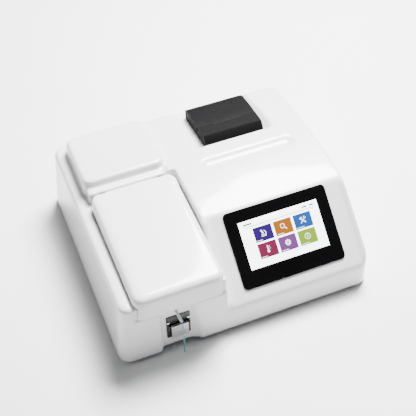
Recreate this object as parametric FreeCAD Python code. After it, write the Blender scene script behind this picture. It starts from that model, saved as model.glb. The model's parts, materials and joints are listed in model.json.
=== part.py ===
"""Bench spectrophotometer with a sipper, a touch-screen console and a strip printer.

Every piece is drawn in housing coordinates: x from the left side, y from the front,
z up from the lower edge of the housing. write() moves it so that the origin is at the
middle of the footprint, on the surface that the feet stand on.
"""
import FreeCAD
import Part
import math
import os

V = FreeCAD.Vector

# ---- driving dimensions, mm ------------------------------------------------------------
WIDTH = 486.0
DEPTH = 444.0
WALL = 3.0
FOOT_HEIGHT = 4.0
REAR_MOST = 455.0
FRONT_MOST = -15.0

LEFT_LEAN = 0.095
RIGHT_LEAN = 0.02
FRONT_LEAN = 0.045
BACK_LEAN = 0.055
CORNER = 22.0
FORM_TOP = 190.0
TALL = 240.0

LEDGE_Z = 138.5
LEDGE_ROUND = 8.0
CREST_Z = 166.0
CREST_Y = 270.0

# sloping console panel
TILT = math.radians(40.4)
PANEL_MID_X = 342.0
GLASS_MID_Y = 72.9
GLASS_MID_Z = 116.2
GLASS_W = 199.5
GLASS_H = 141.0
GLASS_T = 2.0
GLASS_CORNER = 8.0
RIM_RISE = 3.0
PANEL_LEFT = 214.0
PANEL_RIGHT = 475.0
PANEL_UP, PANEL_DOWN = 84.0, -130.0
DISPLAY_HALF_W = 82.0
DISPLAY_V0, DISPLAY_V1 = -43.0, 53.0
DISPLAY_T = 6.0
BOARD_T = 1.6

# shallow groove across the crest
GROOVE_X0, GROOVE_X1 = 268.0, 426.0
GROOVE_Y = 250.0
GROOVE_R, GROOVE_DEPTH = 21.0, 5.2

# raised rear block
BLOCK_X0, BLOCK_X1 = 36.0, 192.0
BLOCK_Y0, BLOCK_Y1 = 279.0, 417.0
BLOCK_FRONT_Z, BLOCK_BACK_Z = 177.0, 169.0
BLOCK_CORNER, BLOCK_ROUND = 16.0, 7.0

# lid over the measuring bay
LID_X0, LID_X1 = 34.5, 201.5
LID_Y0, LID_Y1 = 0.5, 262.0
LID_SKIRT_Z = 110.0
LID_SIDE_Z = 138.0
LID_TOP_FRONT, LID_TOP_BACK = 158.0, 166.0
LID_WALL = 3.0
LID_CORNER, LID_ROUND = 18.0, 9.0
LID_GAP = 1.5
LIP_Y = 9.0
DECK_Z = 136.0
CONSOLE_X0 = 204.0
SILL_Z = 162.0
LID_AXIS_Y, LID_AXIS_Z = 256.0, 158.2
LID_PIN_R = 2.0
LID_BOSS_R = 4.0
HINGE_LUGS_X = (62.0, 174.0)
LUG_T = 4.0

# bay tray
TRAY_X0, TRAY_X1 = 52.0, 186.0
TRAY_Y0, TRAY_Y1 = 24.0, 236.0
TRAY_FLOOR = 72.0
TRAY_T = 1.2

# strip printer, drawn flat and then tilted about its front lower edge
PRINTER_X = 343.0
PRINTER_Y = 305.0
PRINTER_Z = 161.0
PRINTER_TILT = math.radians(-7.0)
PRINTER_W = 120.0
PRINTER_L = 114.0
PRINTER_RISE = 12.0
PRINTER_DROP = 46.0
SLOT_V = 43.0
DOOR_AXIS_V, DOOR_AXIS_W = 47.0, 8.0
TONGUE_AXIS_V, TONGUE_AXIS_W = 86.7, 10.2
TONGUE_HALF = 31.0
PLATEN_V, PLATEN_W = 50.0, -3.0
PLATEN_R = 5.0
IDLER_V, IDLER_W = 45.4, -12.6
PINION_V, PINION_W = 43.1, -20.8
PLATEN_TEETH, IDLER_TEETH = 18, 12
GEAR_U0, GEAR_U1 = 34.2, 38.2
ROLL_V, ROLL_W = 80.0, -17.0
ROLL_R = 20.0
ROLL_LEN = 57.0
EAR_U = 50.5
DOOR_PIN_R = 1.2
TONGUE_PIN_R = 1.0
IDLER_PIN_R = 1.0
PINION_PIN_R = 0.9
PLATEN_PIN_R = 2.0

# sipper niche and trigger
NICHE_X0, NICHE_X1 = 79.0, 152.0
NICHE_Y = 8.0
NICHE_TOP = 107.0
PLATE_X0, PLATE_X1 = 89.0, 133.0
PLATE_Z0, PLATE_Z1 = 28.0, 87.0
PLATE_T = 1.5
PADDLE_X0, PADDLE_X1 = 96.5, 127.5
PADDLE_AXIS_Y, PADDLE_AXIS_Z = 3.6, 62.5
STEM_X, STEM_Z = 112.0, 46.0

# pump, optics
PUMP_X, PUMP_Y = 94.0, 66.0
WHEEL_X, WHEEL_Z = 172.0, 100.0
BEAM_X = 140.0
WHEEL_Y0, WHEEL_T = 318.0, 6.0
WHEEL_R = 40.0
FILTER_R, FILTER_SEAT = 6.5, 1.5
CELL_MID_Y = 168.0
CELL_HALF = 6.0
CELL_Z0, CELL_Z1 = 84.0, 126.0
LAMP_Y, LAMP_BASE_Z, LAMP_TIP_Z = 381.0, 50.0, 104.0
LAMP_R = 6.0
LENS_Y, LENS_T, LENS_R = 340.0, 9.0, 10.0

# sampling tube and its sleeve
SLEEVE_TOP = (106.0, 14.0, 108.6)
SLEEVE_END = (112.0, -11.5, 89.0)
SLEEVE_R, SLEEVE_BORE = 2.5, 1.2
TUBE_Y = -14.0
TUBE_R = 1.0
TUBE_TIP_Z = 1.0

# pump
PUMP_TOP = 97.0
PUMP_FLOOR = TRAY_FLOOR + TRAY_T
PUMP_HALF = 26.0
PUMP_CAVITY = 21.0
ROLLER_ORBIT = 13.0
ROLLER_R = 3.6
ROLLER_PIN_R = 1.2

# screwed bosses under the housing
PAN_T = 2.0
BOSS_R = 5.0
SCREW_R = 2.0

# fan and rear panel
REAR_FLAT_Y = 441.4
REAR_FLAT_X0, REAR_FLAT_X1 = 166.0, 458.0
REAR_FLAT_Z0, REAR_FLAT_Z1 = 13.0, 50.0
CUT_GAP = 0.6
INLET_X0, INLET_X1 = 421.0, 447.0
SWITCH_X0, SWITCH_X1 = 381.0, 399.0
SOCKET_Z0, SOCKET_Z1 = 23.0, 42.0
SWITCH_AXIS_Y, SWITCH_AXIS_Z = 439.0, 32.5
PORTS_X0, PORTS_X1 = 241.0, 319.0
PORTS_Z0, PORTS_Z1 = 19.0, 45.0
FAN_SLOTS = 9
FAN_SLOT_STEP = 8.0
FAN_SLOT_HALF = 2.0
FAN_X, FAN_Z = 62.0, 70.0
FAN_SIZE, FAN_T = 80.0, 25.0
FAN_Y0 = 408.0
SPIGOT_X, SPIGOT_Z = 180.0, 40.0
SPIGOT_R = 3.0
SPIGOT_NUT_T = 3.0


def box(x0, x1, y0, y1, z0, z1):
    return Part.makeBox(x1 - x0, y1 - y0, z1 - z0, V(x0, y0, z0))


def rod(x, y, z, axis, radius, length):
    return Part.makeCylinder(radius, length, V(x, y, z), V(*axis))


def tube(x, y, z, axis, outer, inner, length):
    return rod(x, y, z, axis, outer, length).cut(rod(x, y, z, axis, inner, length))


def rounded_wire(x0, x1, y0, y1, z, r):
    """Closed wire of a rectangle with round corners, in the plane at height z."""
    pts = [(x0 + r, y0), (x1 - r, y0), (x1, y0 + r), (x1, y1 - r),
           (x1 - r, y1), (x0 + r, y1), (x0, y1 - r), (x0, y0 + r)]
    centres = [(x1 - r, y0 + r, -45), (x1 - r, y1 - r, 45), (x0 + r, y1 - r, 135), (x0 + r, y0 + r, 225)]
    edges = []
    for i in range(4):
        a = V(*pts[2 * i], z)
        b = V(*pts[2 * i + 1], z)
        c = V(*pts[(2 * i + 2) % 8], z)
        cx, cy, ang = centres[i]
        mid = V(cx + r * math.cos(math.radians(ang)), cy + r * math.sin(math.radians(ang)), z)
        edges.append(Part.LineSegment(a, b).toShape())
        edges.append(Part.Arc(b, mid, c).toShape())
    return Part.Wire(edges)


def rounded_box(x0, x1, y0, y1, z0, z1, r):
    wire = rounded_wire(x0, x1, y0, y1, z0, r)
    return Part.Face(wire).extrude(V(0, 0, z1 - z0))


def leaning_box(low, high, z0, z1, r):
    """Box with round upright corners whose plan changes from low to high."""
    return Part.makeLoft([rounded_wire(*low, z0, r), rounded_wire(*high, z1, r)], True, True)


def fillet_top(shape, r, z_min):
    """Rounds every edge whose ends both lie at or above z_min."""
    edges = [e for e in shape.Edges
             if all(v.Point.z >= z_min for v in e.Vertexes) and e.Length > r / 2]
    return shape.makeFillet(r, edges)


def joined(shapes):
    whole = shapes[0]
    for s in shapes[1:]:
        whole = whole.fuse(s)
    return whole.removeSplitter()


def group(shapes):
    return Part.makeCompound(shapes)


# ---- housing -----------------------------------------------------------------------------
def footprint(t, top):
    """Drafted outer form of the whole housing, inset by t."""
    low = (t, WIDTH - t, t, DEPTH - t)
    high = (t + LEFT_LEAN * top, WIDTH - t - RIGHT_LEAN * top,
            t + FRONT_LEAN * top, DEPTH - t - BACK_LEAN * top)
    return leaning_box(low, high, 0.0, top, CORNER - t)


def slope_z(y, rise=0.0):
    """Height of the console slope at y; rise is measured square to the slope."""
    return GLASS_MID_Z + math.tan(TILT) * (y - GLASS_MID_Y) + rise / math.cos(TILT)


def console_profile():
    """Side outline of the console: front, slope, crest, falling top, back."""
    rise = RIM_RISE - GLASS_T
    front_top = V(0, 14.0, slope_z(14.0, rise))
    slope_top = V(0, 121.0, slope_z(121.0, rise))
    crest = V(0, 152.0, 165.0)
    far = V(0, DEPTH - 30.0, 147.0)
    back_top = V(0, DEPTH - 8.0, 138.0)
    edges = [
        Part.LineSegment(V(0, 0, 0), V(0, 2.0, 46.0)).toShape(),
        Part.Arc(V(0, 2.0, 46.0), V(0, 5.6, 57.5), front_top).toShape(),
        Part.LineSegment(front_top, slope_top).toShape(),
        Part.Arc(slope_top, V(0, 134.0, 162.6), crest).toShape(),
        Part.Arc(crest, V(0, CREST_Y, CREST_Z), far).toShape(),
        Part.Arc(far, V(0, DEPTH - 16.0, 144.0), back_top).toShape(),
        Part.LineSegment(back_top, V(0, DEPTH, 0)).toShape(),
        Part.LineSegment(V(0, DEPTH, 0), V(0, 0, 0)).toShape(),
    ]
    return Part.Wire(edges)


def console(t):
    wire = console_profile()
    if t > 0:
        wire = wire.makeOffset2D(-t)
    solid = Part.Face(wire).extrude(V(WIDTH, 0, 0))
    solid.translate(V(0, 0, -t))
    keep = box(CONSOLE_X0 + t, WIDTH, -1, DEPTH + 1, -5, TALL)
    keep = keep.fuse(box(BLOCK_X1 - 2.0 + t, WIDTH, LID_Y1 + LID_GAP + t, DEPTH + 1, -5, TALL))
    return solid.common(footprint(t, FORM_TOP)).common(keep)


def left_module(t):
    high = LEDGE_Z - t
    solid = leaning_box(
        (t, WIDTH - 60, t, DEPTH - t),
        (t + LEFT_LEAN * high, WIDTH - 60, t + FRONT_LEAN * high, DEPTH - t - BACK_LEAN * high),
        0.0, high, CORNER - t)
    solid = fillet_top(solid, LEDGE_ROUND - t, high - 0.1)
    return solid.common(box(-1, CONSOLE_X0 - t, -1, DEPTH + 1, -1, TALL))


def block(t):
    solid = leaning_box(
        (BLOCK_X0 - 4 + t, BLOCK_X1 + 4 - t, BLOCK_Y0 - 4 + t, BLOCK_Y1 + 4 - t),
        (BLOCK_X0 + 2 + t, BLOCK_X1 - 2 - t, BLOCK_Y0 + 3 + t, BLOCK_Y1 - 2 - t),
        LEDGE_Z - 20.0, FORM_TOP, BLOCK_CORNER)
    roof = Part.Face(Part.makePolygon([
        V(0, BLOCK_Y0 - 20, 0), V(0, BLOCK_Y1 + 20, 0), V(0, BLOCK_Y1 + 20, BLOCK_BACK_Z - t),
        V(0, BLOCK_Y0 - 20, BLOCK_FRONT_Z - t), V(0, BLOCK_Y0 - 20, 0)])).extrude(V(WIDTH, 0, 0))
    solid = solid.common(roof)
    return fillet_top(solid, BLOCK_ROUND - t, BLOCK_BACK_Z - t - 2.0)


def sill(t):
    """Low wall across the back of the lid, in front of the block."""
    return box(BLOCK_X0 + 2 + t, CONSOLE_X0 + 4, LID_Y1 + LID_GAP + t, BLOCK_Y0 + 10, 100, SILL_Z - t)


def body_form(t):
    return joined([console(t), left_module(t), block(t), sill(t)])


def on_slope(solid):
    """Moves a piece drawn flat to the console slope; x runs across, y up the slope, z out of it."""
    solid.rotate(V(0, 0, 0), V(1, 0, 0), math.degrees(TILT))
    solid.translate(V(PANEL_MID_X, GLASS_MID_Y, GLASS_MID_Z))
    return solid


def slope_box(u0, u1, v0, v1, w0, w1):
    return on_slope(box(u0, u1, v0, v1, w0, w1))


def in_printer(solid):
    """Moves a printer piece drawn flat to the printer's place and tilt."""
    solid.rotate(V(0, 0, 0), V(1, 0, 0), math.degrees(PRINTER_TILT))
    solid.translate(V(PRINTER_X, PRINTER_Y, PRINTER_Z))
    return solid


def niche(t):
    plan = Part.makePolygon([
        V(NICHE_X0 - t, -20, 0), V(NICHE_X0 - t, NICHE_Y + t, 0), V(NICHE_X1 - 18 + t, NICHE_Y + t, 0),
        V(NICHE_X1 + t, 1.0 + t, 0), V(NICHE_X1 + 4 + t, -20, 0), V(NICHE_X0 - t, -20, 0)])
    solid = Part.Face(plan).extrude(V(0, 0, NICHE_TOP + t + 5))
    solid.translate(V(0, 0, -5))
    return solid


def printer_recess(t):
    """Pocket round the printer, open at the back, with its right wall sloping at 45 degrees."""
    floor = -12.0 - t
    roof = 60.0
    right = 64.0 + t * math.sqrt(2)
    section = [V(-76 - t, -3 - t, floor), V(right - t, -3 - t, floor), V(right + roof + 12, -3 - t, roof),
               V(-76 - t, -3 - t, roof), V(-76 - t, -3 - t, floor)]
    return in_printer(Part.Face(Part.makePolygon(section)).extrude(V(0, 203 + t, 0)))


def capsule(x0, x1, y, z, r):
    """Rod along x with half-ball ends, turned from its upper outline."""
    diagonal = r * math.sqrt(0.5)
    outline = Part.Wire([
        Part.Arc(V(x0 - r, y, z), V(x0 - diagonal, y, z + diagonal), V(x0, y, z + r)).toShape(),
        Part.LineSegment(V(x0, y, z + r), V(x1, y, z + r)).toShape(),
        Part.Arc(V(x1, y, z + r), V(x1 + diagonal, y, z + diagonal), V(x1 + r, y, z)).toShape(),
        Part.LineSegment(V(x1 + r, y, z), V(x0 - r, y, z)).toShape()])
    return Part.Face(outline).revolve(V(x0, y, z), V(1, 0, 0), 360)


def stylus_groove(t):
    centre_z = CREST_Z - 0.4 + GROOVE_R - GROOVE_DEPTH
    return capsule(GROOVE_X0, GROOVE_X1, GROOVE_Y, centre_z, GROOVE_R + t)


def lid_bed(t):
    """Room for the lid, and the step that its front lip hangs over."""
    x0 = LID_X0 - LID_GAP - t
    x1 = CONSOLE_X0 + t
    bed = box(x0, x1, -5, LID_Y1 + LID_GAP + t, DECK_Z - t, TALL)
    return bed.fuse(box(x0, x1, -5, LIP_Y + t, NICHE_TOP - t, TALL))


def panel_face(t):
    return slope_box(PANEL_LEFT - PANEL_MID_X - t, PANEL_RIGHT - PANEL_MID_X + t,
                     PANEL_DOWN, PANEL_UP + t, -GLASS_T - t, 60)


def rear_flat(t):
    return box(REAR_FLAT_X0 - t, REAR_FLAT_X1 + t, REAR_FLAT_Y - t, REAR_MOST + 20,
               REAR_FLAT_Z0 - t, REAR_FLAT_Z1 + t)


def pockets(t):
    """Everything pressed into the outside of the housing, grown by t."""
    return [lid_bed(t), panel_face(t), niche(t), printer_recess(t), stylus_groove(t), rear_flat(t)]


def cut_all(solid, tools):
    for tool in tools:
        solid = solid.cut(tool)
    return solid


def boss_places():
    return [(16.0, 30.0), (16.0, DEPTH - 40.0), (WIDTH - 12.0, 30.0), (WIDTH - 12.0, DEPTH - 40.0)]


def add_screw_boss(shell, x, y):
    side = -1 if x < WIDTH / 2 else 1
    x0, x1 = sorted((x, x + side * 12))
    web = box(x0, x1, y - 2, y + 2, PAN_T + 2, 34)
    boss = rod(x, y, PAN_T + 2, (0, 0, 1), BOSS_R, 30).fuse(web).common(footprint(0.5, FORM_TOP))
    return shell.fuse(boss).cut(rod(x, y, PAN_T + 1, (0, 0, 1), SCREW_R, 20))


def rear_window(x0, x1, z0, z1):
    """Opening in the rear wall for a piece of this outline."""
    return box(x0 - CUT_GAP, x1 + CUT_GAP, REAR_FLAT_Y - 41, REAR_MOST + 5, z0 - CUT_GAP, z1 + CUT_GAP)


def fan_slots():
    made = []
    for i in range(FAN_SLOTS):
        up = (i - FAN_SLOTS // 2) * FAN_SLOT_STEP
        half = math.sqrt(37.0 ** 2 - up ** 2) if abs(up) < 36 else 8.0
        made.append(box(FAN_X - half, FAN_X + half, FAN_Y0 + 17, REAR_MOST + 5,
                        FAN_Z + up - FAN_SLOT_HALF, FAN_Z + up + FAN_SLOT_HALF))
    return made


def shell_openings():
    screen = slope_box(-DISPLAY_HALF_W - 2, DISPLAY_HALF_W + 2, DISPLAY_V0 - 2, DISPLAY_V1 + 2, -20, 5)
    printer = in_printer(box(-56, 56, 3, 109, -40, 0))
    tray = box(TRAY_X0 - 0.5, TRAY_X1 + 0.5, TRAY_Y0 - 0.5, TRAY_Y1 + 0.5, 120, 140)
    stem = rod(STEM_X, 5, STEM_Z, (0, 1, 0), 5.0, 9)
    sleeve = sleeve_rod(SLEEVE_R + 0.2)
    spigot = rod(SPIGOT_X, 420, SPIGOT_Z, (0, 1, 0), 5.0, 40)
    rear = [rear_window(INLET_X0, INLET_X1, SOCKET_Z0, SOCKET_Z1),
            rear_window(SWITCH_X0, SWITCH_X1, SOCKET_Z0, SOCKET_Z1),
            rear_window(PORTS_X0, PORTS_X1, PORTS_Z0, PORTS_Z1)]
    return [screen, printer, tray, stem, sleeve, spigot] + rear + fan_slots()


def upper_housing():
    outer = cut_all(body_form(0.0), pockets(0.0))
    inner = cut_all(body_form(WALL), pockets(WALL))
    mouth = box(WALL, WIDTH - WALL, WALL, DEPTH - WALL, -1, 3).common(footprint(WALL, FORM_TOP))
    shell = outer.cut(inner.fuse(mouth))
    for x, y in boss_places():
        shell = add_screw_boss(shell, x, y)
    shell = cut_all(shell, shell_openings())
    return max(shell.Solids, key=lambda s: s.Volume)


def base_pan():
    edge = WALL + LID_GAP
    plate = rounded_box(edge, WIDTH - edge, edge, DEPTH - edge, 0, PAN_T, CORNER - 4)
    plate = plate.cut(box(NICHE_X0 - 5, NICHE_X1 + 8, 0, NICHE_Y + 4, -1, PAN_T + 1))
    for x, y in boss_places():
        plate = plate.cut(rod(x, y, -1, (0, 0, 1), SCREW_R + 0.2, PAN_T + 3))
    for i in range(8):
        x = 350.0 + 12 * i
        plate = plate.cut(box(x, x + 4, 330, 390, -1, PAN_T + 1))
    return plate


def feet():
    places = [(52, 52), (52, DEPTH - 60), (WIDTH - 52, 52), (WIDTH - 52, DEPTH - 60)]
    made = []
    for x, y in places:
        foot = Part.makeCone(10, 11, FOOT_HEIGHT, V(x, y, -FOOT_HEIGHT), V(0, 0, 1))
        foot = foot.cut(rod(x, y, -FOOT_HEIGHT, (0, 0, 1), 4.5, 1.6))
        made.append(foot)
    return group(made)


def housing_screws():
    made = []
    for x, y in boss_places():
        head = Part.makeCone(3.2, 3.8, 2.0, V(x, y, -2.0), V(0, 0, 1))
        head = head.cut(box(x - 0.5, x + 0.5, y - 2.6, y + 2.6, -2.1, -1.2))
        head = head.cut(box(x - 2.6, x + 2.6, y - 0.5, y + 0.5, -2.1, -1.2))
        made.append(head.fuse(rod(x, y, 0, (0, 0, 1), 1.95, 16)))
    return group(made)


# ---- lid ----------------------------------------------------------------------------------
def lid_form(t):
    low = (LID_X0 + t, LID_X1 - t, LID_Y0 + t, LID_Y1 - t)
    high = (LID_X0 + 6 + t, LID_X1 - 2 - t, LID_Y0 + 4 + t, LID_Y1 - 2 - t)
    solid = leaning_box(low, high, LID_SKIRT_Z - 1, FORM_TOP, LID_CORNER)
    roof = Part.Face(Part.makePolygon([
        V(0, -20, 60), V(0, 300, 60), V(0, 300, LID_TOP_BACK - t),
        V(0, LID_Y1, LID_TOP_BACK - t), V(0, LID_Y0, LID_TOP_FRONT - t),
        V(0, -20, LID_TOP_FRONT - t), V(0, -20, 60)])).extrude(V(WIDTH, 0, 0))
    solid = solid.common(roof)
    return fillet_top(solid, LID_ROUND - t, LID_TOP_FRONT - t - 1.0)


def lid():
    shell = lid_form(0.0).cut(lid_form(LID_WALL))
    shell = shell.cut(box(0, 300, LIP_Y - LID_GAP, 300, 60, LID_SIDE_Z))
    shell = shell.cut(box(0, 300, -20, 300, 60, LID_SKIRT_Z))
    for x in HINGE_LUGS_X:
        side = -1 if x == HINGE_LUGS_X[0] else 1
        x0, x1 = sorted((x + side * 3, x + side * 16))
        boss = rod(x0, LID_AXIS_Y, LID_AXIS_Z, (1, 0, 0), LID_BOSS_R, x1 - x0)
        web = box(x0, x1, LID_AXIS_Y - LID_BOSS_R, LID_AXIS_Y, LID_AXIS_Z, LID_TOP_BACK - 2.0)
        shell = shell.fuse(boss).fuse(web)
    for x in HINGE_LUGS_X:
        shell = shell.cut(box(x - 5, x + 5, LID_Y1 - 11, LID_Y1 + 2, 100, LID_TOP_BACK - LID_WALL))
        shell = shell.cut(rod(x - 20, LID_AXIS_Y, LID_AXIS_Z, (1, 0, 0), LID_PIN_R, 40))
    return max(shell.Solids, key=lambda s: s.Volume)


def lid_hinge_pins():
    return group([rod(48, LID_AXIS_Y, LID_AXIS_Z, (1, 0, 0), LID_PIN_R, 19),
                  rod(169, LID_AXIS_Y, LID_AXIS_Z, (1, 0, 0), LID_PIN_R, 19)])


def lid_hinge_brackets():
    made = []
    for x in HINGE_LUGS_X:
        inward = 1 if x < TRAY_X1 / 2 else -1
        x0, x1 = sorted((x - inward * LUG_T / 2, x + inward * 12))
        foot = box(x0, x1, 240, 251.5, DECK_Z, DECK_Z + 2)
        upright = box(x - LUG_T / 2, x + LUG_T / 2, 250, 258.4, DECK_Z, LID_AXIS_Z)
        head = rod(x - LUG_T / 2, LID_AXIS_Y, LID_AXIS_Z, (1, 0, 0), 3.8, LUG_T)
        hole = rod(x - 10, LID_AXIS_Y, LID_AXIS_Z, (1, 0, 0), LID_PIN_R + 0.06, 20)
        made.append(foot.fuse(upright).fuse(head).removeSplitter().cut(hole))
    return group(made)


def bay_tray():
    t = TRAY_T
    well = box(TRAY_X0, TRAY_X1, TRAY_Y0, TRAY_Y1, TRAY_FLOOR, DECK_Z + t)
    well = well.cut(box(TRAY_X0 + t, TRAY_X1 - t, TRAY_Y0 + t, TRAY_Y1 - t, TRAY_FLOOR + t, 200))
    flange = box(TRAY_X0 - 5, TRAY_X1 + 5, TRAY_Y0 - 5, TRAY_Y1 + 3, DECK_Z, DECK_Z + t)
    flange = flange.cut(box(TRAY_X0, TRAY_X1, TRAY_Y0, TRAY_Y1, DECK_Z - 1, DECK_Z + 5))
    tray = well.fuse(flange).removeSplitter()
    tray = tray.cut(rod(PUMP_X, PUMP_Y, TRAY_FLOOR - 1, (0, 0, 1), 4.0, 5))
    tray = tray.cut(rod(BEAM_X, TRAY_Y1 - 5, WHEEL_Z, (0, 1, 0), 5.0, 10))
    return tray


# ---- display --------------------------------------------------------------------------------
def touch_glass():
    return on_slope(rounded_box(-GLASS_W / 2, GLASS_W / 2, -GLASS_H / 2, GLASS_H / 2,
                                -GLASS_T, 0, GLASS_CORNER))


def display_panel():
    return on_slope(rounded_box(-DISPLAY_HALF_W, DISPLAY_HALF_W, DISPLAY_V0, DISPLAY_V1,
                                -GLASS_T - DISPLAY_T, -GLASS_T, 2))


def display_carrier():
    top = -GLASS_T - DISPLAY_T - 0.2
    left, right = -96, 96
    low, high = -56, 66
    plate = rounded_box(left, right, low, high, top - 1.4, top, 4)
    plate = plate.cut(box(-60, 60, -30, 30, top - 10, 5))
    for u in (left + 6, right - 6):
        for v in (low + 6, high - 6):
            plate = plate.fuse(tube(u, v, top, (0, 0, 1), 4.0, 1.5, 3.0))
    return on_slope(plate)


def controller_board():
    """Board on four posts, with its chips, its connector and the two bars that carry the posts."""
    top = -GLASS_T - 13.4
    low = top - BOARD_T
    post_u, post_v = 50, 36
    board = box(-55, 55, -40, 40, low, top)
    chips = [box(-30, -10, -10, 10, low - 2.0, low), box(5, 25, -25, -5, low - 1.5, low),
             box(-45, 45, 30, 38, low - 7.0, low)]
    posts = [tube(u, v, top, (0, 0, 1), 3.0, 1.2, 5.8) for u in (-post_u, post_u) for v in (-post_v, post_v)]
    bars = [box(-64, 64, v - 4, v + 4, top + 4.8, top + 5.8) for v in (-post_v, post_v)]
    return on_slope(joined([board] + chips + bars + posts))


# ---- printer --------------------------------------------------------------------------------
def across(points, u0, u1):
    """Prism along x between u0 and u1 of a polygon given as (v, w) points."""
    ring = [V(u0, v, w) for v, w in points]
    ring.append(ring[0])
    return Part.Face(Part.makePolygon(ring)).extrude(V(u1 - u0, 0, 0))


def spin_rod(v, w, radius, u0, u1):
    return rod(u0, v, w, (1, 0, 0), radius, u1 - u0)


def gear_module():
    """Tooth size that makes the platen gear and the idler meet at their pitch circles."""
    apart = math.hypot(PLATEN_V - IDLER_V, PLATEN_W - IDLER_W)
    return 2 * apart / (PLATEN_TEETH + IDLER_TEETH)


def gear(v, w, teeth, first_angle, bore):
    """Small spur gear along x; one tooth points at first_angle in the (v, w) plane."""
    pitch_r = gear_module() * teeth / 2
    root_r = pitch_r - 0.62
    tip_r = pitch_r + 0.45
    blank = spin_rod(v, w, root_r, GEAR_U0, GEAR_U1)
    outline = [(root_r - 0.4, -0.56), (tip_r, -0.16), (tip_r, 0.16), (root_r - 0.4, 0.56)]
    for i in range(teeth):
        tooth = across(outline, GEAR_U0, GEAR_U1)
        tooth.rotate(V(0, 0, 0), V(1, 0, 0), first_angle + 360.0 * i / teeth)
        tooth.translate(V(0, v, w))
        blank = blank.fuse(tooth)
    return blank.cut(spin_rod(v, w, bore, GEAR_U0 - 1, GEAR_U1 + 1))


def bearing(v0, w0, v1, w1):
    """Angle in degrees of the line from one gear centre to the next."""
    return math.degrees(math.atan2(w1 - w0, v1 - v0))


def printer_frame():
    half = PRINTER_W / 2
    rim = across([(0, -12), (0, -6), (3.5, 4), (11, PRINTER_RISE), (SLOT_V - 1.2, PRINTER_RISE + 0.8),
                  (SLOT_V - 1.2, 3), (PRINTER_L, 3), (PRINTER_L, -12)], -half, half)
    frame = rim.fuse(box(-54, 54, 5, 107, -PRINTER_DROP, -5))
    frame = frame.cut(box(-48, 48, SLOT_V - 2, 104, -PRINTER_DROP + 3, 20))
    frame = frame.cut(box(-48, 48, 8, 33, -PRINTER_DROP + 3, 5))
    frame = frame.cut(box(-40, 40, 32, SLOT_V, -PRINTER_DROP + 3, 9.5))
    frame = frame.cut(box(-TONGUE_HALF, TONGUE_HALF, 108, 116, -8, 4))
    frame = frame.fuse(spin_rod(IDLER_V, IDLER_W, IDLER_PIN_R, 33.0, 49.0))
    for u in (-EAR_U, EAR_U):
        ear = box(u - 1.5, u + 1.5, DOOR_AXIS_V - 2.2, DOOR_AXIS_V + 2.2, 0, DOOR_AXIS_W)
        ear = ear.fuse(spin_rod(DOOR_AXIS_V, DOOR_AXIS_W, 2.2, u - 1.5, u + 1.5))
        frame = frame.fuse(ear)
        frame = frame.cut(spin_rod(DOOR_AXIS_V, DOOR_AXIS_W, DOOR_PIN_R + 0.06, u - 3, u + 3))
    return in_printer(frame.removeSplitter())


def printer_door():
    half = PRINTER_W / 2
    door = across([(46.5, 3.6), (SLOT_V + 0.4, 7.4), (SLOT_V + 0.4, 11.0), (46.2, 12.6), (60, 13.2),
                   (PRINTER_L - 12, 12.2), (PRINTER_L, 7.0), (PRINTER_L, 3.6)], -half, half)
    hollow = across([(46.0, 3), (46.0, 10.8), (PRINTER_L - 13, 10.2), (PRINTER_L - 4, 6), (PRINTER_L - 4, 3)],
                    -half + 3, half - 3)
    door = door.cut(hollow)
    door = door.cut(box(-TONGUE_HALF - 0.5, TONGUE_HALF + 0.5, 84.0, 120, 0, 20))
    for side in (-1, 1):
        door = door.cut(box(side * EAR_U - 2.0, side * EAR_U + 2.0, 40, 50, 0, 10.8))
        for from_ear in (-4.7, 2.2):
            door = add_hinge_boss(door, side * EAR_U + from_ear)
        door = add_tongue_boss(door, side)
        door = add_platen_arm(door, side)
    return in_printer(door.removeSplitter())


def add_hinge_boss(door, u0):
    u1 = u0 + 2.5
    boss = spin_rod(DOOR_AXIS_V, DOOR_AXIS_W, 2.3, u0, u1)
    boss = boss.fuse(box(u0, u1, DOOR_AXIS_V - 2.3, DOOR_AXIS_V + 2.3, DOOR_AXIS_W, 11.6))
    return door.fuse(boss).cut(spin_rod(DOOR_AXIS_V, DOOR_AXIS_W, DOOR_PIN_R, u0 - 1, u1 + 1))


def add_tongue_boss(door, side):
    u0, u1 = sorted((side * (TONGUE_HALF + 0.5), side * (TONGUE_HALF + 4.5)))
    boss = spin_rod(TONGUE_AXIS_V, TONGUE_AXIS_W, 2.0, u0, u1)
    return door.fuse(boss).cut(spin_rod(TONGUE_AXIS_V, TONGUE_AXIS_W, TONGUE_PIN_R + 0.06, u0 - 1, u1 + 1))


def add_platen_arm(door, side):
    u0, u1 = sorted((side * 31.0, side * 33.0))
    arm = across([(46.2, 11.0), (54.5, 11.0), (54.5, PLATEN_W), (PLATEN_V + 3, PLATEN_W - 3),
                  (PLATEN_V - 3, PLATEN_W - 3), (46.8, PLATEN_W)], u0, u1)
    return door.fuse(arm).cut(spin_rod(PLATEN_V, PLATEN_W, PLATEN_PIN_R + 0.06, u0 - 1, u1 + 1))


def door_pins():
    return in_printer(group([spin_rod(DOOR_AXIS_V, DOOR_AXIS_W, DOOR_PIN_R, u - 4.6, u + 4.6)
                             for u in (-EAR_U, EAR_U)]))


def latch_tongue():
    plate = across([(86.7, 9.4), (86.7, 12.4), (PRINTER_L - 12, 12.2), (PRINTER_L, 7.0), (PRINTER_L, 4.2),
                    (PRINTER_L - 2.5, 4.2), (PRINTER_L - 13, 9.4)], -TONGUE_HALF, TONGUE_HALF)
    barrel = spin_rod(TONGUE_AXIS_V, TONGUE_AXIS_W, 2.2, -TONGUE_HALF, TONGUE_HALF)
    pin = spin_rod(TONGUE_AXIS_V, TONGUE_AXIS_W, TONGUE_PIN_R, -TONGUE_HALF - 4, TONGUE_HALF + 4)
    return in_printer(joined([plate, barrel, pin]))


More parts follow.
